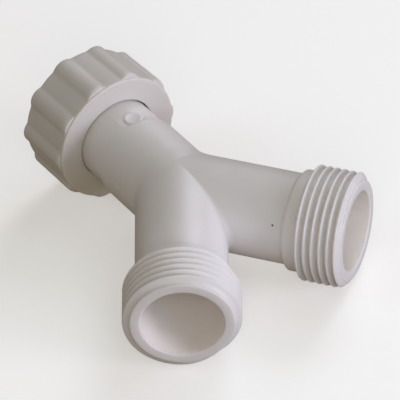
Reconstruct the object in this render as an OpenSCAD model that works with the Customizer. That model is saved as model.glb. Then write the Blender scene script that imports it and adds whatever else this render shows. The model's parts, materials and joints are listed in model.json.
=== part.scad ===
// Y-shaped hose splitter: a captive swivel nut feeds two threaded outlets.
// Origin: start of the inlet thread, on its axis. The inlet runs along Y with its mouth
// towards +Y, the two outlets fan out towards -Y, and the plane of the Y is the XY plane.

/* [Thread] */
// Outside diameter of the pipe thread, on the outlets and in the nut's grooves
thread_d = 26.44; // [26.2:0.02:26.6]
// Distance from one thread ridge to the next
thread_pitch = 1.814; // [1.7:0.002:1.9]
// Radial height of a thread ridge
thread_depth = 1.16; // [1:0.01:1.2]
// Width of the flat on top of a thread ridge
thread_land = 0.36; // [0.3:0.02:0.5]
// Ridges on each outlet
outlet_ridges = 6; // [4:1:6]
// Ridges inside the nut
nut_ridges = 5; // [4:1:5]

/* [Body] */
// Distance from the inlet thread's start to the point where the three tubes meet
junction_y = 40; // [36:0.5:44]
// Angle between each outlet and the line of the inlet
outlet_angle = 34.3; // [30:0.1:40]
// Distance from the tubes' meeting point to an outlet's end face
outlet_len = 42.3; // [42:0.1:46]
// Outer diameter of the outlet tubes
outlet_d = 20.96; // [20:0.02:21.6]
// Outer diameter of the inlet tube
inlet_d = 20.8; // [20.4:0.02:21.4]
// Outer diameter of the plain end beyond an outlet's last ridge
nose_d = 23.9; // [23:0.1:24]
// Diameter of the collar behind the outlet thread
collar_d = 23.3; // [22.4:0.1:24]
// Length of the collar behind the outlet thread
collar_len = 3; // [1.5:0.1:3.5]
// Bore diameter at an outlet's mouth
outlet_bore_d = 18.5; // [17:0.1:19]
// Bore diameter where the outlets meet the inlet
root_bore_d = 16.2; // [15:0.1:17]
// Bore diameter of the inlet
inlet_bore_d = 15.5; // [14:0.1:16]

/* [Neck] */
// Outer diameter of the neck that the nut rides on
neck_d = 19.5; // [19:0.1:19.8]
// Length of the neck, from its shoulder on the inlet tube to the end flange
neck_len = 11.2; // [10:0.1:12]
// Diameter of the end flange that keeps the nut on
flange_d = 22; // [21.6:0.1:23.2]
// Thickness of the end flange
flange_t = 1.8; // [1.4:0.1:2]
// Diameter of each round stop nib on the neck
nib_d = 4.2; // [3:0.1:5]
// Height of a stop nib above the neck
nib_h = 0.85; // [0.6:0.05:1.1]
// How far each stop nib sits to the side of the neck's centre line
nib_offset = 0.9; // [0:0.1:1.5]

/* [Swivel nut] */
// Length of the nut
nut_len = 15.1; // [14.5:0.1:15.5]
// Diameter of the nut between its grip ribs, at the shoulder
nut_d = 31.4; // [30:0.1:32]
// Diameter over the grip ribs
rib_crest_d = 33.1; // [32.5:0.1:34]
// Number of grip ribs
rib_count = 10; // [6:1:12]
// Radius of each rib's round back
rib_r = 3.27; // [2.6:0.01:3.4]
// Distance from the shoulder face to the start of the ribs
rib_start = 1; // [0.6:0.1:2]
// Thickness of the shoulder that closes round the neck
shoulder_t = 2.2; // [1.8:0.1:2.2]
// Diameter of the hole in the shoulder
shoulder_hole_d = 20.2; // [20:0.1:20.6]

/* [Washer] */
// Outer diameter of the inlet washer
washer_d = 23.4; // [23:0.1:23.6]
// Hole diameter of the inlet washer
washer_hole_d = 16; // [14:0.1:17]
// Thickness of the inlet washer
washer_t = 2; // [1.5:0.1:2]

/* [Hidden] */
$fn = 96;
plastic = [0.86, 0.84, 0.82];
rubber = [0.16, 0.16, 0.17];

thread_r = thread_d / 2;
root_r = thread_r - thread_depth;
edge = 0.4;                                  // small chamfer on moulded rims
snap = 2 * edge;                             // chamfer that lets the nut snap over the flange
lead_in = 1.2;                               // length of the nut's lead-in ahead of its thread
nut_draft = 0.2;                             // how much the nut's wall tapers towards its mouth
nut_face_y = lead_in - nut_len;              // the shoulder face, towards the junction
neck_gap = 0.2;                              // slack between the nut's shoulder and the flange
flange_y = nut_face_y + shoulder_t + neck_gap;
neck_end_y = flange_y + flange_t;            // end face of the neck, where the washer sits
neck_start_y = flange_y - neck_len;
nib_y = neck_start_y + nib_d / 2;
ridge_gap = 0.24;                            // flat between the feet of two ridges
ridge_half = (thread_pitch - ridge_gap) / 2; // half the width of a ridge at its foot
nose_len = 0.5;                              // plain end beyond the last ridge
last_ridge = outlet_len - nose_len - ridge_half;
first_ridge = last_ridge - (outlet_ridges - 1) * thread_pitch;
thread_foot = first_ridge - ridge_half;      // where the collar ends and the thread starts

// Sides of the Y: the left outlet turns one way, the right outlet the other.
module along_outlet(side) {
    translate([0, -junction_y, 0]) rotate([90, 0, side * outlet_angle]) children();
}

// Four corners of a thread ridge, as radius against distance. The distance rises when step is 1
// and falls when step is -1.
function ridge(centre, foot_r, crest_r, step) = [
    [foot_r, centre - step * ridge_half],
    [crest_r, centre - step * thread_land / 2],
    [crest_r, centre + step * thread_land / 2],
    [foot_r, centre + step * ridge_half]];

// Outline of one outlet from the junction to its end face, as radius against distance.
outlet_outline = concat(
    [[0, 0],
     [outlet_d / 2, 0],
     [outlet_d / 2, thread_foot - collar_len],
     [collar_d / 2, thread_foot - collar_len + 2 * edge],
     [collar_d / 2, thread_foot - edge]],
    [for (i = [0 : outlet_ridges - 1], p = ridge(first_ridge + i * thread_pitch, root_r, thread_r, 1)) p],
    [[nose_d / 2, outlet_len - nose_len],
     [nose_d / 2, outlet_len - edge],
     [nose_d / 2 - edge, outlet_len],
     [0, outlet_len]]);

module outlet_outside(side) {
    along_outlet(side) rotate_extrude() polygon(outlet_outline);
}

module outlet_bore(side) {
    along_outlet(side) {
        cylinder(d1 = root_bore_d, d2 = outlet_bore_d, h = outlet_len);
        translate([0, 0, outlet_len - edge])
            cylinder(d1 = outlet_bore_d, d2 = outlet_bore_d + 3 * edge, h = 1.5 * edge);
    }
}

// Outline of the inlet side from the junction to the neck's end face.
inlet_outline = [
    [0, 0],
    [inlet_d / 2, 0],
    [inlet_d / 2, junction_y + neck_start_y - edge],
    [neck_d / 2, junction_y + neck_start_y],
    [neck_d / 2, junction_y + flange_y],
    [flange_d / 2, junction_y + flange_y],
    [flange_d / 2, junction_y + neck_end_y - snap],
    [flange_d / 2 - snap, junction_y + neck_end_y],
    [0, junction_y + neck_end_y]];

module y_body() {
    color(plastic) difference() {
        union() {
            translate([0, -junction_y, 0])
                rotate([-90, 0, 0]) rotate_extrude() polygon(inlet_outline);
            outlet_outside(-1);
            outlet_outside(1);
            for (turn = [0, 180])
                rotate([0, turn, 0]) translate([nib_offset, nib_y, 0])
                    cylinder(d = nib_d, h = neck_d / 2 + nib_h);
        }
        translate([0, -junction_y, 0])
            rotate([-90, 0, 0]) cylinder(d = inlet_bore_d, h = junction_y);
        outlet_bore(-1);
        outlet_bore(1);
    }
}

// Inside of the nut, as radius against distance from the shoulder face. The crest of the first
// ridge starts at the origin of the part.
nut_ridge = nut_len - lead_in - thread_land / 2;
nut_bore_outline = concat(
    [[0, -1],
     [shoulder_hole_d / 2, -1],
     [shoulder_hole_d / 2, shoulder_t],
     [thread_r, shoulder_t]],
    [for (i = [nut_ridges - 1 : -1 : 0], p = ridge(nut_ridge - i * thread_pitch, thread_r, root_r, 1)) p],
    [[thread_r + nut_draft, nut_len + 1],
     [0, nut_len + 1]]);

nut_outline = [
    [0, 0],
    [nut_d / 2 - edge, 0],
    [nut_d / 2, edge],
    [nut_d / 2 - nut_draft, nut_len - edge],
    [nut_d / 2 - nut_draft - edge, nut_len],
    [0, nut_len]];

module nut_shell() {
    difference() {
        rotate_extrude() polygon(nut_outline);
        rotate_extrude() polygon(nut_bore_outline);
    }
}

// The grip ribs: round backs standing out of the shell, cut off inside its wall.
module nut_ribs() {
    wall_r = (thread_d + nut_d) / 4;
    difference() {
        for (i = [0 : rib_count - 1])
            rotate([0, 0, (i + 0.1) * 360 / rib_count])
                translate([rib_crest_d / 2 - rib_r, 0, rib_start])
                    cylinder(r = rib_r, h = nut_len - rib_start - 2 * edge, $fn = 48);
        cylinder(r = wall_r, h = nut_len + 1);
    }
}

module swivel_nut() {
    color(plastic) translate([0, nut_face_y, 0]) rotate([-90, 0, 0]) union() {
        nut_shell();
        nut_ribs();
    }
}

module inlet_washer() {
    color(rubber) translate([0, neck_end_y, 0]) rotate([-90, 0, 0]) difference() {
        cylinder(d = washer_d, h = washer_t);
        translate([0, 0, -1]) cylinder(d = washer_hole_d, h = washer_t + 2);
    }
}

y_body();
swivel_nut();
inlet_washer();
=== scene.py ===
"""Looks for the Y-shaped hose splitter: detailed meshes, materials, light and camera, in metres."""
import json
import math

import bmesh
import bpy
import numpy as np
from mathutils import Matrix, Vector


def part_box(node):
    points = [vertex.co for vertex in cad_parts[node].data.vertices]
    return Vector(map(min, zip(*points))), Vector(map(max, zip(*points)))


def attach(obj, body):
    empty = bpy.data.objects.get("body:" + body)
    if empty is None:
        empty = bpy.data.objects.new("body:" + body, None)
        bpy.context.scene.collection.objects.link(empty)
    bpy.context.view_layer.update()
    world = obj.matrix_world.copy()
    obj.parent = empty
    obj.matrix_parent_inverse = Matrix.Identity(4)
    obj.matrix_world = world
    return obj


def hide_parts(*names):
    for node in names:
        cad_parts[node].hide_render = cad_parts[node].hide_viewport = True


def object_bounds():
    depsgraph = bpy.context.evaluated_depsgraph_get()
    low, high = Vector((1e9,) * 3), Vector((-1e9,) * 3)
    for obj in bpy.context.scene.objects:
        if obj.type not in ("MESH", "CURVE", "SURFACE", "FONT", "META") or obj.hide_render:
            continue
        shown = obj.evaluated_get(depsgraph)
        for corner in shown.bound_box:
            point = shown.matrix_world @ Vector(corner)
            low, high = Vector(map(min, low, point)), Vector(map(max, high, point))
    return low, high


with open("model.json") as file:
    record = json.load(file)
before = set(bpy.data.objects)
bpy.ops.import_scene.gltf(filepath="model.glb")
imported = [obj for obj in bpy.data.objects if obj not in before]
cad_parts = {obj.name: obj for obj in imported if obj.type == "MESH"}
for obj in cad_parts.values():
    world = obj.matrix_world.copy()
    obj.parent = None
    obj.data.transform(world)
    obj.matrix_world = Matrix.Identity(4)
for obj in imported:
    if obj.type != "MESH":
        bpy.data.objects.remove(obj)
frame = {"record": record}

cad_low, cad_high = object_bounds()

MM = 0.001
X = np.array([1.0, 0.0, 0.0])
Z = np.array([0.0, 0.0, 1.0])
FULL_TURN = 2 * math.pi

# ---------------------------------------------------------------- driving dimensions, mm
COLUMNS = 200                 # columns round each tube
OUTLET_R = 10.48
OUTLET_PLAIN = 26.0           # distance from the junction where an outlet is past every fillet
INLET_R = 10.4
INLET_PLAIN = 16.5
NECK_R = (9.5, 9.85)          # at the step on the inlet tube, at the nut
BORE_ROOT_R = 8.1
BORE_MOUTH_R = 9.25
INLET_BORE_R = 7.75
NIB_TOP = 10.2                # height of a stop nib's top over the inlet's axis
NIB_R = 2.15
GATE_R = 0.8                  # the mould's gate mark, low on the inlet's left side
FLANGE_R = 11.0
BEND_FILLET = (20.0, 2.5)     # radius of the fillet from inlet to outlet: on top, at the side
FORK_FILLET = (1.0, 1.0)      # the same between the two outlets
BORE_FILLET = (0.4, 0.4)

THREAD_R = 13.22
THREAD_PITCH = 1.814
THREAD_DEPTH = 1.16
ROOT_R = THREAD_R - THREAD_DEPTH
COLLAR_R = 11.6
COLLAR_START = (27.7, 28.8)   # where the collar starts to rise, where it is full
THREAD_FOOT = 31.0
NOSE_R = 11.65
RIM_SOFT = 0.3                # rounding of an outlet's rim, outside and at the bore
MOUTH_SOFT = 0.4
RIGHT_RIDGE = 40.87           # the last ridge's distance from the junction, on top of the tube
LEFT_RIDGE = 40.6

NUT_FACE_R = 15.25
NUT_RIM_R = 15.69
NUT_MOUTH_R = 15.46
RIB_COUNT = 10
RIB_R = 3.27
RIB_CREST_R = (16.6, 16.42)   # at the shoulder, at the mouth
RIB_START = 0.55              # distance from the shoulder face to the ribs
RIB_STEP = 0.75               # share of a rib's height that starts as a step
RIB_RISE = 0.9                # length over which the rest of it rises
RIB_PHASE = math.radians(3.4)
SHOULDER = 2.2
HOLE_R = 10.1
NUT_TURN = (-1.3, -0.43)      # how far the slack nut leans, in degrees towards +X and +Z
NUT_SHIFT = (0.1, 0.06)       # and how far it sits off the neck's axis, along X and Z
NUT_THREAD_FOOT = 5.2
NUT_COLUMNS = 440
WASHER_HOLE_R = 8.0
WASHER_COLUMNS = 160

# ---------------------------------------------------------------- places, from the frame
mounts = {m["name"]: m for m in frame["record"]["mounts"]}
right_face = np.array(mounts["right_outlet_face"]["pos_m"]) / MM
right_dir = np.array(mounts["right_outlet_thread"]["axis"], float)
right_dir /= np.linalg.norm(right_dir)
left_dir = right_dir * [-1, 1, 1]
inlet_dir = np.array([0.0, 1.0, 0.0])
JUNCTION = np.array([0.0, right_face[1] - right_dir[1] * right_face[0] / right_dir[0], 0.0])
OUTLET_END = right_face[0] / right_dir[0]

nut_low, nut_high = (np.array(v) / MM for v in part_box("swivel_nut"))
washer_low, washer_high = (np.array(v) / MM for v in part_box("inlet_washer"))
body_high_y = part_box("y_body")[1].y / MM
NUT_LENGTH = nut_high[1] - nut_low[1]
NUT_LIP = NUT_LENGTH - 0.3
NUT_ROOT_R = THREAD_R + 0.05
NECK_END = body_high_y - JUNCTION[1]
FLANGE_START = NECK_END - 1.5   # thinner than in the CAD by 0.3, to clear the leaning nut
NECK_START = NECK_END - 13.0

# ---------------------------------------------------------------- mesh helpers


def smoothstep(low, high, x):
    t = np.clip((x - low) / (high - low), 0, 1)
    return t * t * (3 - 2 * t)


def smooth_max(a, b, k):
    h = np.clip(0.5 + 0.5 * (a - b) / k, 0, 1)
    return b + (a - b) * h + k * h * (1 - h)


def smooth_min(a, b, k):
    return -smooth_max(-a, -b, k)


def spaced(points, step):
    """Points along a polyline (distance, radius), every corner kept, no gap wider than step."""
    out = [points[0]]
    for a, b in zip(points, points[1:]):
        n = max(1, math.ceil(math.hypot(b[0] - a[0], b[1] - a[1]) / step))
        out += [(a[0] + (b[0] - a[0]) * i / n, a[1] + (b[1] - a[1]) * i / n) for i in range(1, n + 1)]
    return out


def arc(centre, radius, start, end, steps=5):
    """Points of a quarter turn or so in the (distance, radius) plane; angles in degrees."""
    angles = np.radians(np.linspace(start, end, steps + 1))
    return [(centre[0] + radius * math.cos(a), centre[1] + radius * math.sin(a)) for a in angles]


def grid_faces(rows, columns, first=0, closed=False, wraps=True):
    """Quads of a grid. Its columns join up if it wraps, and its rows do too if it is closed."""
    i = np.arange(rows if closed else rows - 1)[:, None]
    j = np.arange(columns if wraps else columns - 1)[None, :]
    i_next, j_next = (i + 1) % rows, (j + 1) % columns
    quad = [i * columns + j, i * columns + j_next, i_next * columns + j_next, i_next * columns + j]
    return np.stack(np.broadcast_arrays(*quad), -1).reshape(-1, 4) + first


def make_object(name, points, faces, sharp=50, inside=None):
    """A mesh object from points in mm and quads, merged, closed and with its normals outwards.

    inside is 1 on the points of a bore and 0 elsewhere, for the material, which paints the bores
    lighter as the light that shines through the thin wall.
    """
    mesh = bpy.data.meshes.new(name)
    mesh.vertices.add(len(points))
    mesh.vertices.foreach_set("co", (np.asarray(points) * MM).ravel())
    mesh.loops.add(faces.size)
    mesh.loops.foreach_set("vertex_index", faces.ravel())
    mesh.polygons.add(len(faces))
    mesh.polygons.foreach_set("loop_start", np.arange(0, faces.size, 4))
    mesh.update(calc_edges=True)
    if inside is not None:
        mesh.attributes.new("inside", "FLOAT", "POINT").data.foreach_set("value", inside)
    bm = bmesh.new()
    bm.from_mesh(mesh)
    bmesh.ops.remove_doubles(bm, verts=bm.verts, dist=2e-6)
    bmesh.ops.recalc_face_normals(bm, faces=bm.faces)
    bm.to_mesh(mesh)
    bm.free()
    obj = bpy.data.objects.new(name, mesh)
    bpy.context.scene.collection.objects.link(obj)
    finish_shading(mesh, sharp)
    return obj


def finish_shading(mesh, sharp):
    mesh.shade_smooth()
    mesh.set_sharp_from_angle(angle=math.radians(sharp))


def unite(obj, tool, sharp=50):
    """Joins a small closed solid to a piece for good."""
    modifier = obj.modifiers.new("join", "BOOLEAN")
    modifier.operation = "UNION"
    modifier.solver = "MANIFOLD"
    modifier.object = tool
    depsgraph = bpy.context.evaluated_depsgraph_get()
    mesh = bpy.data.meshes.new_from_object(obj.evaluated_get(depsgraph))
    old = obj.data
    obj.modifiers.remove(modifier)
    obj.data = mesh
    bpy.data.meshes.remove(old)
    tool_mesh = tool.data
    bpy.data.objects.remove(tool)
    bpy.data.meshes.remove(tool_mesh)
    finish_shading(mesh, sharp)


# ---------------------------------------------------------------- threads


def ridge_height(distance, turn, top, hand, foot, end):
    """Height over the root of a pipe thread's rounded ridge.

    distance is along the axis, turn the fraction of a turn from the top, top a ridge's centre at
    turn 0, and hand the sign that makes the helix right-handed. The ridge fades out where its own
    centre passes foot or end.
    """
    centre_line = top + hand * THREAD_PITCH * turn
    count = np.round((centre_line - distance) / THREAD_PITCH)
    centre = centre_line - count * THREAD_PITCH
    across = np.abs(distance - centre) / THREAD_PITCH
    sharp_v = 0.9605 * THREAD_PITCH * (0.5 - 2 * across)
    half = 0.3202 * THREAD_PITCH
    rounded = smooth_max(smooth_min(sharp_v, half, 0.3), -half, 0.3)
    full = half - 0.3 * 0.25 * np.clip(1 - (0.4802 * THREAD_PITCH - half) / 0.3, 0, 1) ** 2
    height = np.clip((rounded + half) / (full + half), 0, 1) * THREAD_DEPTH
    fade = smoothstep(foot, foot + 0.3, centre) * (1 - smoothstep(end - 0.25, end, centre))
    return height * fade


def helix(turns, foot, end, top, hand, radius_at, per_pitch=20):
    """Distances and radii of an open grid whose rows follow the ridges, cut off at foot and end."""
    first, last = (math.floor((v - top) / THREAD_PITCH) for v in (foot, end))
    rows = np.arange((first - 2) * per_pitch, (last + 3) * per_pitch)[:, None] / per_pitch
    distance = np.clip(top + THREAD_PITCH * (hand * turns + rows), foot, end)
    open_row = ((distance > foot) & (distance < end)).any(1)
    open_row[:-1] |= open_row[1:]
    open_row[1:] |= open_row[:-1]
    distance = distance[open_row]
    return distance, radius_at(distance, turns + 0 * distance)


# ---------------------------------------------------------------- the Y-shaped body
ANGLES = np.radians(np.unique(np.concatenate(
    [np.linspace(0, 360, COLUMNS, endpoint=False),
     [side + d for side in (90, 270) for d in (-1.2, -0.5, 0.5, 1.2)]])))


class Tube:
    """One branch of the Y: its direction from the junction and its side, both in the plane.

    radius and bore are functions of the distance from the junction, and end is the distance
    from which the branch is plain.
    """

    def __init__(self, direction, side, radius, bore, end):
        self.direction = direction
        self.side = side
        self.radius = radius
        self.bore = bore
        self.end = end

    def points(self, distance, radius, angles=ANGLES):
        """Points for arrays of distance and radius; the last axis runs round the tube."""
        round_ = np.sin(angles)[:, None] * self.side + np.cos(angles)[:, None] * Z
        return distance[..., None] * self.direction + radius[..., None] * round_

    def start(self, radius, neighbours):
        """Distance at which each column meets the mitre with the tube on its side."""
        across = np.sin(ANGLES) * radius
        out = np.zeros_like(across)
        for sign, other in zip((1, -1), neighbours):
            half = math.acos(np.clip(self.direction @ other, -1, 1)) / 2
            out = np.where(across * sign > 0, np.abs(across) / math.tan(half), out)
        return out


def side_of(direction, towards):
    """The in-plane direction square to a tube, on the side of another direction."""
    side = np.cross(direction, Z)
    return side if side @ towards > 0 else -side


def constant(radius):
    """A radius that is the same all along a tube."""
    return lambda distance: radius + 0 * distance


def bore_radius(distance):
    """The outlets' tapered bore."""
    return BORE_ROOT_R + (BORE_MOUTH_R - BORE_ROOT_R) * np.clip(distance / OUTLET_END, 0, 1)


outlets = {
    name: Tube(direction, side_of(direction, inlet_dir), constant(OUTLET_R), bore_radius, OUTLET_PLAIN)
    for name, direction in (("left", left_dir), ("right", right_dir))}
inlet = Tube(inlet_dir, X, constant(INLET_R), constant(INLET_BORE_R), INLET_PLAIN)
tubes = [inlet, outlets["left"], outlets["right"]]
OUTER_FILLETS = (BEND_FILLET, FORK_FILLET)
BORE_FILLETS = (BORE_FILLET, BORE_FILLET)


def blended(p, which, fillets):
    """Signed distance from p to the three tubes, blended with a fillet between each two."""
    fields, normals = [], []
    for tube in tubes:
        along = np.maximum(p @ tube.direction, 0)
        away = p - along[..., None] * tube.direction
        size = np.linalg.norm(away, axis=-1)
        fields.append(size - getattr(tube, which)(along))
        normals.append(away / size[..., None])
    out = np.minimum(np.minimum(fields[0], fields[1]), fields[2])
    for a, b, (on_top, at_side) in ((0, 1, fillets[0]), (0, 2, fillets[0]), (1, 2, fillets[1])):
        bend = half_bend((normals[a] * normals[b]).sum(-1))
        share = np.clip(bend / half_bend(-tubes[a].direction @ tubes[b].direction), 0, 1)
        k = 4 * (on_top + (at_side - on_top) * share) * bend + 1e-4
        out = out - k / 4 * np.clip(1 - np.abs(fields[a] - fields[b]) / k, 0, 1) ** 2
    return out


def half_bend(cosine):
    """One less the cosine of half an angle, from the angle's cosine."""
    return 1 - np.sqrt(np.clip((1 + cosine) / 2, 0, 1))


def junction_rows(tube, neighbours, which, mean_radius, fillets, rows, reach=6):
    """Rows of one tube from its mitre out to where it is plain, laid on the blended surface."""
    start = tube.start(mean_radius, neighbours)
    distance = start + (tube.end - start) * (np.arange(rows) / rows)[:, None] ** 1.3
    rough = tube.points(distance, np.full_like(distance, mean_radius))
    outward = np.sin(ANGLES)[:, None] * tube.side + np.cos(ANGLES)[:, None] * Z
    ways = []
    for other in neighbours:
        across = (tube.direction - other) / np.linalg.norm(tube.direction - other)
        ways.append(outward - (outward @ across)[:, None] * across)
    mitre = np.where(np.sin(ANGLES)[:, None] > 0, *ways)
    mitre /= np.linalg.norm(mitre, axis=1)[:, None]
    share = smoothstep(0, reach, distance - start)[..., None]
    way = outward * share + mitre * (1 - share)
    way /= np.linalg.norm(way, axis=-1)[..., None]
    low, high = np.full(distance.shape, -1.0), np.full(distance.shape, 6.0)
    for _ in range(30):
        middle = (low + high) / 2
        inside = blended(rough + middle[..., None] * way, which, fillets) < 0
        low, high = np.where(inside, middle, low), np.where(inside, high, middle)
    return rough + ((low + high) / 2)[..., None] * way


def profile_rows(tube, profile):
    """Rows that follow a (distance, radius) outline round the tube; a radius may vary round it."""
    distance = np.array([p[0] for p in profile])[:, None] + 0 * ANGLES
    radius = np.array([p[1] + 0 * ANGLES for p in profile])
    return tube.points(distance, radius)


def outside_sheet(tube, neighbours, outline):
    """A tube's outside from its mitre out along an outline."""
    rows = junction_rows(tube, neighbours, "radius", OUTLET_R, OUTER_FILLETS, 54)
    return np.concatenate([rows, profile_rows(tube, outline)]), 0


def bore_sheet(tube, neighbours, outline):
    """A tube's bore from its mouth in along an outline to its mitre."""
    rows = junction_rows(tube, neighbours, "bore", BORE_ROOT_R, BORE_FILLETS, 30)
    return np.concatenate([profile_rows(tube, outline), rows[::-1]]), 1


def outlet_thread(top, hand):
    """The threaded outside of an outlet: its radius from distance and turn."""
    foot, end = THREAD_FOOT, OUTLET_END

    def radius(distance, turn):
        base = COLLAR_R + (ROOT_R - COLLAR_R) * smoothstep(foot, foot + 0.35, distance)
        base = base - (ROOT_R - NOSE_R) * smoothstep(end - 1.1, end - 0.6, distance)
        return base + ridge_height(distance, turn, top, hand, foot + 0.1, end - 0.55)

    return radius


def collar_outline(thread):
    """From the plain tube over the collar to the thread's foot."""
    rise, full = COLLAR_START
    outline = spaced([(OUTLET_PLAIN, OUTLET_R), (rise, OUTLET_R)], 0.5)
    for t in np.linspace(rise, full, 12)[1:]:
        outline.append((t, OUTLET_R + (COLLAR_R - OUTLET_R) * smoothstep(rise, full, t)))
    outline += spaced([(full, COLLAR_R), (THREAD_FOOT - 0.1, COLLAR_R)], 0.3)[1:]
    outline.append((THREAD_FOOT, thread(THREAD_FOOT, ANGLES / FULL_TURN)))
    return outline


def rim_outline(thread):
    """From the thread's end over the flat rim into the bore's mouth."""
    end, soft = OUTLET_END, RIM_SOFT
    lip = BORE_MOUTH_R + MOUTH_SOFT
    outline = [(end - soft, thread(end - soft, ANGLES / FULL_TURN))]
    outline += arc((end - soft, NOSE_R - soft), soft, 90, 0, 5)[1:]
    outline += spaced([(end, NOSE_R - soft - 0.01), (end, lip)], 0.6)[1:]
    outline += arc((end - MOUTH_SOFT, lip), MOUTH_SOFT, 0, -90, 5)[1:]
    return outline


def outlet_sheets(tube, neighbours, top, hand):
    """The sheets of one outlet, each with a 1 if it is in the bore."""
    thread = outlet_thread(top, hand)
    rim = rim_outline(thread)
    bore = [rim[-1]]
    bore += [(t, float(bore_radius(t))) for t in np.linspace(OUTLET_END - 0.8, tube.end, 24)]
    angles = np.append(ANGLES, FULL_TURN)
    distance, radius = helix(angles / FULL_TURN, THREAD_FOOT, OUTLET_END - RIM_SOFT, top, hand, thread)
    return [
        outside_sheet(tube, neighbours, collar_outline(thread)),
        (tube.points(distance, radius, angles), 0),
        (profile_rows(tube, rim), 0),
        bore_sheet(tube, neighbours, bore)]


def neck_outline():
    """The neck: a step down from the tube that runs out to a plain taper on the upper left."""
    turn = np.degrees(ANGLES)
    stepped = 1 - smoothstep(245, 275, turn) * (1 - smoothstep(345, 360, turn))
    distance = list(np.linspace(NECK_START - 0.3, NECK_START + 1.5, 16))
    distance += list(np.linspace(NECK_START + 1.9, NECK_START + 6.5, 12))
    low, high = NECK_R
    outline = []
    for t in distance:
        taper = low + (high - low) * smoothstep(NECK_START + 1, NECK_START + 6.5, t)
        step = INLET_R + (taper - INLET_R) * smoothstep(NECK_START - 0.2, NECK_START + 1.2, t)
        plain = INLET_R + (high - INLET_R) * smoothstep(NECK_START - 0.3, NECK_START + 6.5, t)
        outline.append((t, plain + (step - plain) * stepped))
    return outline


def inlet_sheets(neighbours):
    """The inlet's outside with neck and end flange, and its bore."""
    high, lip = NECK_R[1], INLET_BORE_R + 0.3
    outside = spaced([(inlet.end, INLET_R), (NECK_START - 0.35, INLET_R)], 0.4)
    outside += neck_outline()
    shank = [(NECK_START + 6.6, high), (FLANGE_START, high), (FLANGE_START, FLANGE_R - 0.15)]
    outside += spaced(shank, 0.4)
    outside += [(FLANGE_START + 0.15, FLANGE_R), (NECK_END - 0.8, FLANGE_R)]
    outside += [(NECK_END, FLANGE_R - 0.8), (NECK_END, lip)]
    outside += arc((NECK_END - 0.3, lip), 0.3, 0, -90, 3)[1:]
    bore = [outside[-1]] + [(t, INLET_BORE_R) for t in np.linspace(NECK_END - 0.6, inlet.end, 16)]
    return [outside_sheet(inlet, neighbours, outside), bore_sheet(inlet, neighbours, bore)]


def button(name, centre, axis, radius, soft, dish=0.0, sink=1.5):
    """A round button with a soft edge and a shallow dish on top; its top is at centre."""
    axis = np.array(axis, float) / np.linalg.norm(axis)
    across = np.cross(axis, [0, 1, 0])
    across /= np.linalg.norm(across)
    other = np.cross(axis, across)
    outline = [(-sink, 0), (-sink, radius), (-soft - 0.1, radius)]
    outline += arc((-soft, radius - soft), soft, 90, 0, 6)
    shares = (0.97, 0.85, 0.7, 0.5, 0.3, 0)
    outline += [(-dish * (1 - share ** 2), share * (radius - soft - 0.1)) for share in shares]
    turn = np.linspace(0, FULL_TURN, 48, endpoint=False)
    round_ = np.cos(turn)[:, None] * across + np.sin(turn)[:, None] * other
    points = np.array([centre + axis * h + r * round_ for h, r in outline])
    return make_object(name, points.reshape(-1, 3), grid_faces(len(outline), len(turn)))


def make_body():
    sheets = inlet_sheets((right_dir, left_dir))
    sheets += outlet_sheets(outlets["left"], (inlet_dir, right_dir), LEFT_RIDGE, 1)
    sheets += outlet_sheets(outlets["right"], (inlet_dir, left_dir), RIGHT_RIDGE, -1)
    points, faces, inside, first = [], [], [], 0
    for sheet, in_bore in sheets:
        rows, columns = sheet.shape[:2]
        points.append(sheet.reshape(-1, 3) + JUNCTION)
        faces.append(grid_faces(rows, columns, first, wraps=columns == len(ANGLES)))
        inside.append(np.full(rows * columns, float(in_bore)))
        first += rows * columns
    body = make_object("y_body_shell", np.concatenate(points), np.concatenate(faces),
                       inside=np.concatenate(inside))
    add_nibs_and_gate(body)
    return body


def add_nibs_and_gate(body):
    """The stop nibs above and below the neck, and the gate mark."""
    nib_y = JUNCTION[1] + NECK_START + 2.1
    for up in (1, -1):
        centre = np.array([0.9 * up, nib_y, up * NIB_TOP])
        unite(body, button("nib", centre, (0.08 * up, 0, up), NIB_R, 0.3, 0.2))
    gate = JUNCTION + inlet_dir * 11.3 + np.array([-INLET_R - 0.12, 0, 0.9])
    unite(body, button("gate", gate, (-1, 0, 0.09), GATE_R, 0.15))


# ---------------------------------------------------------------- the swivel nut


def nut_outside(v, turn, inset):
    """Radius of the ribbed outside at distance v from the shoulder face, less an edge's inset."""
    along = np.clip(v / NUT_LENGTH, 0, 1)
    core = NUT_RIM_R + (NUT_MOUTH_R - NUT_RIM_R) * along - inset
    crest = RIB_CREST_R[0] + (RIB_CREST_R[1] - RIB_CREST_R[0]) * along
    spread = FULL_TURN / RIB_COUNT
    delta = (turn - RIB_PHASE + spread / 2) % spread - spread / 2
    centre = crest - RIB_R
    half_chord = np.sqrt(np.clip(RIB_R ** 2 - (centre * np.sin(delta)) ** 2, 0, None))
    rib = np.where(half_chord > 0, centre * np.cos(delta) + half_chord, core - 2) - inset
    ribbed = smooth_max(core, rib, 0.35)
    start = RIB_STEP * smoothstep(RIB_START, RIB_START + 0.12, v)
    start = start + (1 - RIB_STEP) * smoothstep(RIB_START, RIB_START + RIB_RISE, v)
    return core + (ribbed - core) * start


def nut_thread(distance, turn):
    """Radius of the nut's threaded inside from the distance and the fraction of a turn."""
    foot, end = NUT_THREAD_FOOT, NUT_LENGTH - 0.9
    height = ridge_height(distance, turn, foot + 0.8, 1, foot + 0.3, end)
    return NUT_ROOT_R + 0.25 * smoothstep(end, NUT_LIP, distance) - height


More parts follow.
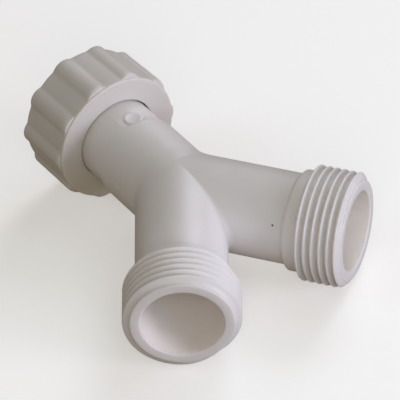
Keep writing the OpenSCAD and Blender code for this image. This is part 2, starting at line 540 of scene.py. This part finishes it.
def nut_outline(turn):
    """The nut's outside, from the shoulder's edge over the mouth to the thread's end."""
    soft, length = 0.4, NUT_LENGTH
    outline = [(v, NUT_FACE_R + (NUT_RIM_R - NUT_FACE_R) * (r - NUT_FACE_R) / 0.45)
               for v, r in arc((0.45, NUT_FACE_R), 0.45, 180, 90, 6)]
    climb = list(RIB_START + np.linspace(0, 0.12, 5))
    climb += list(RIB_START + np.linspace(0.25, RIB_RISE, 6))
    climb += list(np.linspace(RIB_START + RIB_RISE + 0.6, length - soft, 15))
    outline += [(v, nut_outside(v, turn, 0)) for v in climb]
    for a in np.radians([30, 55, 75, 90]):
        radius = nut_outside(length, turn, soft * (1 - math.cos(a)))
        outline.append((length - soft + soft * math.sin(a), radius))
    edge = nut_outside(length, turn, soft)
    outline += [(length, edge + (13.75 - edge) * share) for share in (0.35, 0.7, 1)]
    outline += [(length - 0.1, 13.55), (NUT_LIP, nut_thread(NUT_LIP, turn / FULL_TURN))]
    return outline


def nut_inline(turn):
    """The nut's inside, from the thread's foot by the shoulder and its hole to the shoulder's edge."""
    foot, root = NUT_THREAD_FOOT, NUT_ROOT_R
    inline = [(foot, nut_thread(foot, turn / FULL_TURN))]
    inline += spaced([(foot - 0.3, root), (SHOULDER + 0.4, root)], 0.6)
    inline += arc((SHOULDER + 0.4, root - 0.4), 0.4, 90, 180, 4)[1:]
    inline += spaced([(SHOULDER, root - 0.4), (SHOULDER, HOLE_R + 0.2)], 0.8)[1:]
    inline += arc((SHOULDER - 0.2, HOLE_R + 0.2), 0.2, 0, -90, 3)[1:]
    inline += spaced([(SHOULDER - 0.2, HOLE_R), (0.2, HOLE_R)], 0.5)[1:]
    inline += arc((0.2, HOLE_R + 0.2), 0.2, -90, -180, 3)[1:]
    inline += spaced([(0, HOLE_R + 0.2), (0, NUT_FACE_R)], 0.8)[1:]
    return inline


def nut_sheets(turn):
    """Outside, thread and inside of the nut, as distances from the shoulder face and radii."""
    once = np.append(turn, FULL_TURN) / FULL_TURN
    foot = NUT_THREAD_FOOT
    ridges = helix(once, foot, NUT_LIP, foot + 0.8, 1, nut_thread)
    return [tuple(zip(*nut_outline(turn))), ridges, tuple(zip(*nut_inline(turn)))]


def make_nut():
    turn = np.linspace(0, FULL_TURN, NUT_COLUMNS, endpoint=False)
    axis = np.array([math.tan(math.radians(NUT_TURN[0])), 1, math.tan(math.radians(NUT_TURN[1]))])
    axis /= np.linalg.norm(axis)
    u = np.cross(axis, Z)
    u /= np.linalg.norm(u)
    w = np.cross(axis, u)
    origin = np.array([NUT_SHIFT[0], nut_low[1], NUT_SHIFT[1]])
    points, faces, first = [], [], 0
    for number, (distance, radius) in enumerate(nut_sheets(turn)):
        is_thread = number == 1
        angles = np.append(turn, FULL_TURN) if is_thread else turn
        distance = np.array([v + 0 * angles for v in distance])[..., None]
        radius = np.array([r + 0 * angles for r in radius])[..., None]
        round_ = np.cos(angles)[:, None] * u + np.sin(angles)[:, None] * w
        sheet = origin + distance * axis + radius * round_
        points.append(sheet.reshape(-1, 3))
        faces.append(grid_faces(*sheet.shape[:2], first, wraps=not is_thread))
        first += sheet.shape[0] * sheet.shape[1]
    return make_object("swivel_nut_shell", np.concatenate(points), np.concatenate(faces), sharp=40)


# ---------------------------------------------------------------- the washer


def make_washer():
    soft = 0.25
    turn = np.linspace(0, FULL_TURN, WASHER_COLUMNS, endpoint=False)
    low, high = washer_low[1], washer_high[1]
    outer, inner = (washer_high[0] - washer_low[0]) / 2, WASHER_HOLE_R
    outline = arc((high - soft, outer - soft), soft, 90, 0, 5)
    outline += spaced([(high, outer - soft), (high, inner + soft)], 0.5)[1:]
    outline += arc((high - soft, inner + soft), soft, 0, -90, 5)[1:]
    outline += arc((low + soft, inner + soft), soft, -90, -180, 5)
    outline += spaced([(low, inner + soft), (low, outer - soft)], 0.5)[1:]
    outline += arc((low + soft, outer - soft), soft, 180, 90, 5)[1:]
    round_ = np.cos(turn)[:, None] * X + np.sin(turn)[:, None] * Z
    points = np.array([np.array([0, y, 0]) + r * round_ for y, r in outline])
    return make_object("inlet_washer_ring", points.reshape(-1, 3),
                       grid_faces(len(outline), WASHER_COLUMNS, closed=True))


# ---------------------------------------------------------------- materials
# The third body tint is painted light: a lighter colour in the bores that stands in for light shining
# through the thin wall.
BODY_TINTS = (0.83, 0.81, 0.81), (0.79, 0.77, 0.76), (0.98, 0.92, 0.88)    # plain, dull, in a bore
NUT_TINTS = (0.74, 0.715, 0.69), (0.7, 0.675, 0.645)
SPECK_COLOUR = (0.03, 0.027, 0.025)


class Nodes:
    """A material's nodes, with short ways to add the kinds used here."""

    def __init__(self, name, seed=0.0):
        self.material = bpy.data.materials.new(name)
        self.material.use_nodes = True
        tree = self.material.node_tree
        self.add = tree.nodes.new
        self.link = tree.links.new
        self.shader = tree.nodes["Principled BSDF"]
        self.place = self.add("ShaderNodeTexCoord").outputs["Object"]
        self.seed = seed

    def noise(self, scale, detail):
        node = self.add("ShaderNodeTexNoise")
        node.noise_dimensions = "4D"
        node.inputs["W"].default_value = self.seed
        node.inputs["Scale"].default_value = scale
        node.inputs["Detail"].default_value = detail
        self.link(self.place, node.inputs["Vector"])
        return node.outputs["Fac"]

    def ramp(self, factor, low, high):
        """Colour from a factor; low and high are a position and a colour each."""
        node = self.add("ShaderNodeValToRGB")
        for element, (position, colour) in zip(node.color_ramp.elements, (low, high)):
            element.position = position
            element.color = (*colour, 1)
        self.link(factor, node.inputs["Fac"])
        return node.outputs["Color"]

    def mix(self, factor, under, over):
        """A fixed colour laid over a colour output by a factor."""
        node = self.add("ShaderNodeMix")
        node.data_type = "RGBA"
        node.inputs["B"].default_value = (*over, 1)
        self.link(factor, node.inputs["Factor"])
        self.link(under, node.inputs["A"])
        return node.outputs["Result"]

    def bump(self, height, strength, distance, normal=None):
        node = self.add("ShaderNodeBump")
        node.inputs["Strength"].default_value = strength
        node.inputs["Distance"].default_value = distance
        self.link(height, node.inputs["Height"])
        if normal is not None:
            self.link(normal, node.inputs["Normal"])
        return node.outputs["Normal"]

    def attribute(self, name):
        node = self.add("ShaderNodeAttribute")
        node.attribute_name = name
        return node.outputs["Fac"]

    def near(self, spot, size, edge):
        """1 within size of a spot and 0 past edge."""
        away = self.add("ShaderNodeVectorMath")
        away.operation = "DISTANCE"
        away.inputs[1].default_value = spot
        self.link(self.place, away.inputs[0])
        node = self.add("ShaderNodeMapRange")
        node.inputs["From Min"].default_value = edge
        node.inputs["From Max"].default_value = size
        self.link(away.outputs["Value"], node.inputs["Value"])
        return node.outputs["Result"]

    def between(self, factor, low, high):
        node = self.add("ShaderNodeMapRange")
        node.inputs["To Min"].default_value = low
        node.inputs["To Max"].default_value = high
        self.link(factor, node.inputs["Value"])
        return node.outputs["Result"]


def plastic(name, seed, colour, dull, painted_bore_light=None, speck=None):
    """Moulded plastic, cloudy between two tints, with a lighter tint painted into a bore as light
    shining through its thin wall; speck is a dark spot.
    """
    nodes = Nodes(name, seed)
    shader = nodes.shader
    tint = nodes.ramp(nodes.noise(60, 3), (0.3, dull), (0.62, colour))
    # Paints the bores lighter, as the light that shines through the thin plastic wall.
    if painted_bore_light is not None:
        tint = nodes.mix(nodes.attribute("inside"), tint, painted_bore_light)
    if speck is not None:
        tint = nodes.mix(nodes.near(speck, 0.00014, 0.00032), tint, SPECK_COLOUR)
    nodes.link(tint, shader.inputs["Base Color"])
    nodes.link(nodes.between(nodes.noise(220, 4), 0.34, 0.5), shader.inputs["Roughness"])
    fine = nodes.bump(nodes.noise(2600, 3), 0.25, 0.00002)
    broad = nodes.bump(nodes.noise(260, 2), 0.35, 0.00005, fine)
    nodes.link(broad, shader.inputs["Normal"])
    shader.inputs["Subsurface Weight"].default_value = 0.5
    shader.inputs["Subsurface Radius"].default_value = (0.0025, 0.002, 0.0017)
    shader.inputs["Subsurface Scale"].default_value = 1.0
    shader.inputs["IOR"].default_value = 1.49
    return nodes.material


def rubber():
    """Dark, finely grained rubber."""
    nodes = Nodes("washer_rubber")
    grain = nodes.noise(1500, 6)
    tint = nodes.ramp(grain, (0, (0.018, 0.018, 0.02)), (1, (0.05, 0.05, 0.053)))
    nodes.link(tint, nodes.shader.inputs["Base Color"])
    nodes.link(nodes.bump(grain, 0.5, 0.00005), nodes.shader.inputs["Normal"])
    nodes.shader.inputs["Roughness"].default_value = 0.7
    return nodes.material


def speck_place():
    """A dark speck low on the right outlet's near side."""
    angle = math.radians(-59)
    outward = math.sin(angle) * outlets["right"].side + math.cos(angle) * Z
    return (JUNCTION + right_dir * 25.7 + OUTLET_R * outward) * MM


def dress(piece, body, node, material):
    """Gives a piece its material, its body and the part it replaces."""
    piece.data.materials.clear()
    piece.data.materials.append(material)
    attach(piece, body)
    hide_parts(node)


body_plastic = plastic("body_plastic", 1.0, *BODY_TINTS, speck_place())
nut_plastic = plastic("nut_plastic", 4.0, *NUT_TINTS)
dress(make_body(), "splitter", "y_body", body_plastic)
dress(make_nut(), "nut", "swivel_nut", nut_plastic)
dress(make_washer(), "seal", "inlet_washer", rubber())

# ---------------------------------------------------------------- floor, light, camera
FLOOR_HALF = 3.0
FLOOR_GREY = (0.9, 0.9, 0.9)
FLOOR_GLOW = 0.4
FLOOR_AT_NUT = -16.9          # the floor's height under the nut and under the outlets' ends, mm
FLOOR_AT_OUTLETS = -13.4
LIGHT_DISTANCE = 0.8
LIGHT_SIZE = 0.4
LIGHTS = (                    # name, azimuth, elevation, power, colour
    ("key", 30, 12, 3.0, (1.0, 0.96, 1.14)),
    ("front", -30, 35, 1.05, (1.0, 0.98, 0.86)),
    ("low", 0, 12, 0.8, (0.75, 1.0, 1.4)),
    ("top", 90, 60, 0.42, (0.8, 1.15, 1.1)),
    ("back", 120, 35, 1.45, (1.0, 1.0, 1.17)),
    ("rim", -120, 35, 0.48, (0.8, 1.0, 1.25)))
WORLD_COLOUR = (1.0, 0.78, 0.52)
WORLD_STRENGTH = 0.17
CAMERA_ANGLES = (-31.37, 41.54, -5.3)     # azimuth, elevation, roll
CAMERA_DISTANCE = 0.7587
CAMERA_SHIFT = (0.00431, -0.00091)        # to the right and up
CAMERA_LENS = 299.8


def stage_material(name, colour, glow):
    material = bpy.data.materials.new(name)
    material.use_nodes = True
    shader = material.node_tree.nodes["Principled BSDF"]
    shader.inputs["Base Color"].default_value = (*colour, 1)
    shader.inputs["Roughness"].default_value = 0.9
    shader.inputs["Emission Color"].default_value = (*colour, 1)
    shader.inputs["Emission Strength"].default_value = glow
    return material


def make_floor():
    """A pale floor that touches the nut and both outlets, so it slopes a little under the part."""
    back = (nut_low[1] + nut_high[1]) / 2 * MM, FLOOR_AT_NUT * MM
    front = cad_low.y + 8 * MM, FLOOR_AT_OUTLETS * MM
    slope = math.atan2(front[1] - back[1], front[0] - back[0])
    corners = [(x * FLOOR_HALF, y * FLOOR_HALF, 0) for x, y in ((-1, -1), (1, -1), (1, 1), (-1, 1))]
    mesh = bpy.data.meshes.new("floor")
    mesh.from_pydata(corners, [], [(0, 1, 2, 3)])
    floor = bpy.data.objects.new("floor", mesh)
    bpy.context.scene.collection.objects.link(floor)
    floor.matrix_world = Matrix.Translation((0, *back)) @ Matrix.Rotation(slope, 4, "X")
    mesh.materials.append(stage_material("floor", FLOOR_GREY, FLOOR_GLOW))
    floor.visible_diffuse = False
    floor.visible_glossy = False


def bearing(azimuth, elevation):
    """Unit vector from the part; azimuth 0 is -Y and 90 is +X, both angles in radians."""
    flat = math.cos(elevation)
    return Vector((math.sin(azimuth) * flat, -math.cos(azimuth) * flat, math.sin(elevation)))


def area_light(name, azimuth, elevation, power, colour):
    away = bearing(math.radians(azimuth), math.radians(elevation))
    data = bpy.data.lights.new(name, "AREA")
    data.shape = "DISK"
    data.size = LIGHT_SIZE
    data.energy = power
    data.color = colour
    light = bpy.data.objects.new(name, data)
    bpy.context.scene.collection.objects.link(light)
    light.location = Vector((0, JUNCTION[1] * MM, 0)) + away * LIGHT_DISTANCE
    light.rotation_mode = "QUATERNION"
    light.rotation_quaternion = (-away).to_track_quat("-Z", "Y")


def make_world():
    world = bpy.data.worlds.new("studio")
    world.use_nodes = True
    background = world.node_tree.nodes["Background"]
    background.inputs["Color"].default_value = (*WORLD_COLOUR, 1)
    background.inputs["Strength"].default_value = WORLD_STRENGTH
    bpy.context.scene.world = world


def make_camera():
    azimuth, elevation, roll = (math.radians(v) for v in CAMERA_ANGLES)
    away = bearing(azimuth, elevation)
    level = Vector((0, 0, 1)).cross(away).normalized()
    right = math.cos(roll) * level + math.sin(roll) * away.cross(level)
    up = away.cross(right)
    place = Vector(JUNCTION * MM) + away * CAMERA_DISTANCE
    place += right * CAMERA_SHIFT[0] + up * CAMERA_SHIFT[1]
    data = bpy.data.cameras.new("camera")
    data.lens = CAMERA_LENS
    data.clip_start = 0.05
    data.clip_end = 20
    camera = bpy.data.objects.new("camera", data)
    bpy.context.scene.collection.objects.link(camera)
    camera.matrix_world = Matrix((
        (right.x, up.x, away.x, place.x), (right.y, up.y, away.y, place.y),
        (right.z, up.z, away.z, place.z), (0, 0, 0, 1)))
    bpy.context.scene.camera = camera


make_floor()
for light in LIGHTS:
    area_light(*light)
make_world()
make_camera()
bpy.context.scene.view_settings.view_transform = "Standard"
